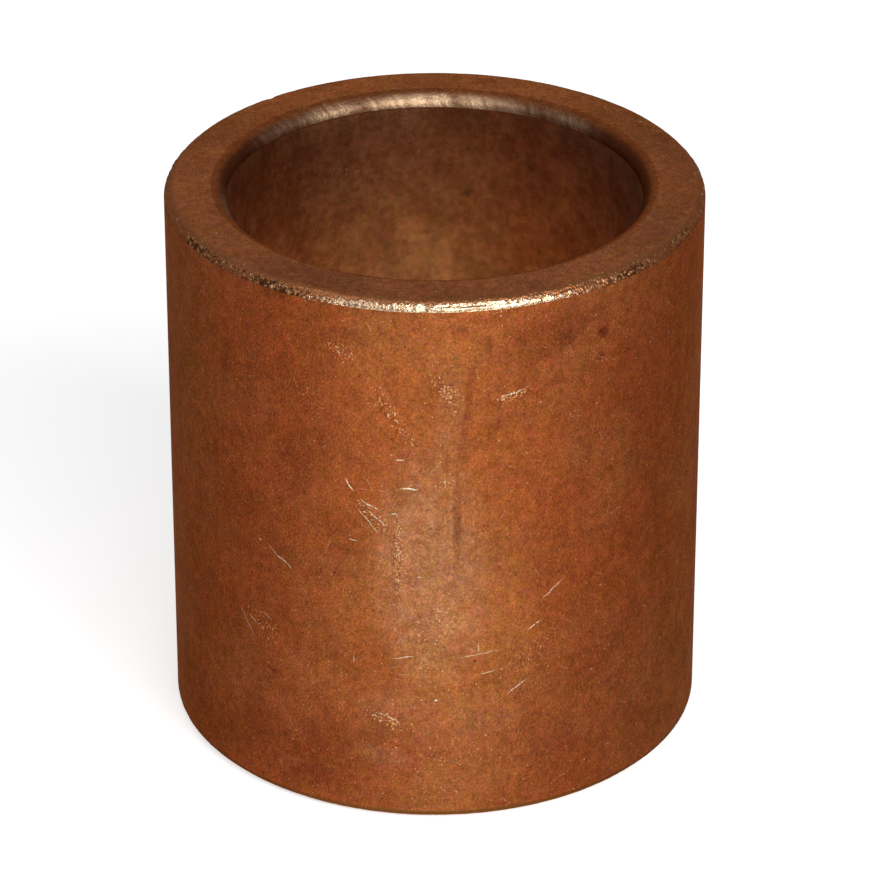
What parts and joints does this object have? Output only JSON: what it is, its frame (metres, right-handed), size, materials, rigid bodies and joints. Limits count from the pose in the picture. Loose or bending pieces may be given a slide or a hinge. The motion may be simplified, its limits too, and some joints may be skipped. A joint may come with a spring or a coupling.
{
  "type": "sleeve bushing",
  "caption": "Plain straight sleeve bushing of sintered bronze: a thick-walled round tube, chamfered at both ends inside and out, for a turning shaft.",
  "frame": {"origin": "on the bore's axis, in the plane of the lower end face", "axes": "+Z along the bore's axis towards the upper end face; the sleeve is round, so +X and +Y are arbitrary"},
  "size_m": [0.0206, 0.0206, 0.0222],
  "materials": {
    "sintered_bronze": "satin, fine-grained and lightly tarnished copper-brown"
  },
  "bodies": {
    "root": {"bronze_sleeve": "sintered_bronze"}
  },
  "joints": []
}
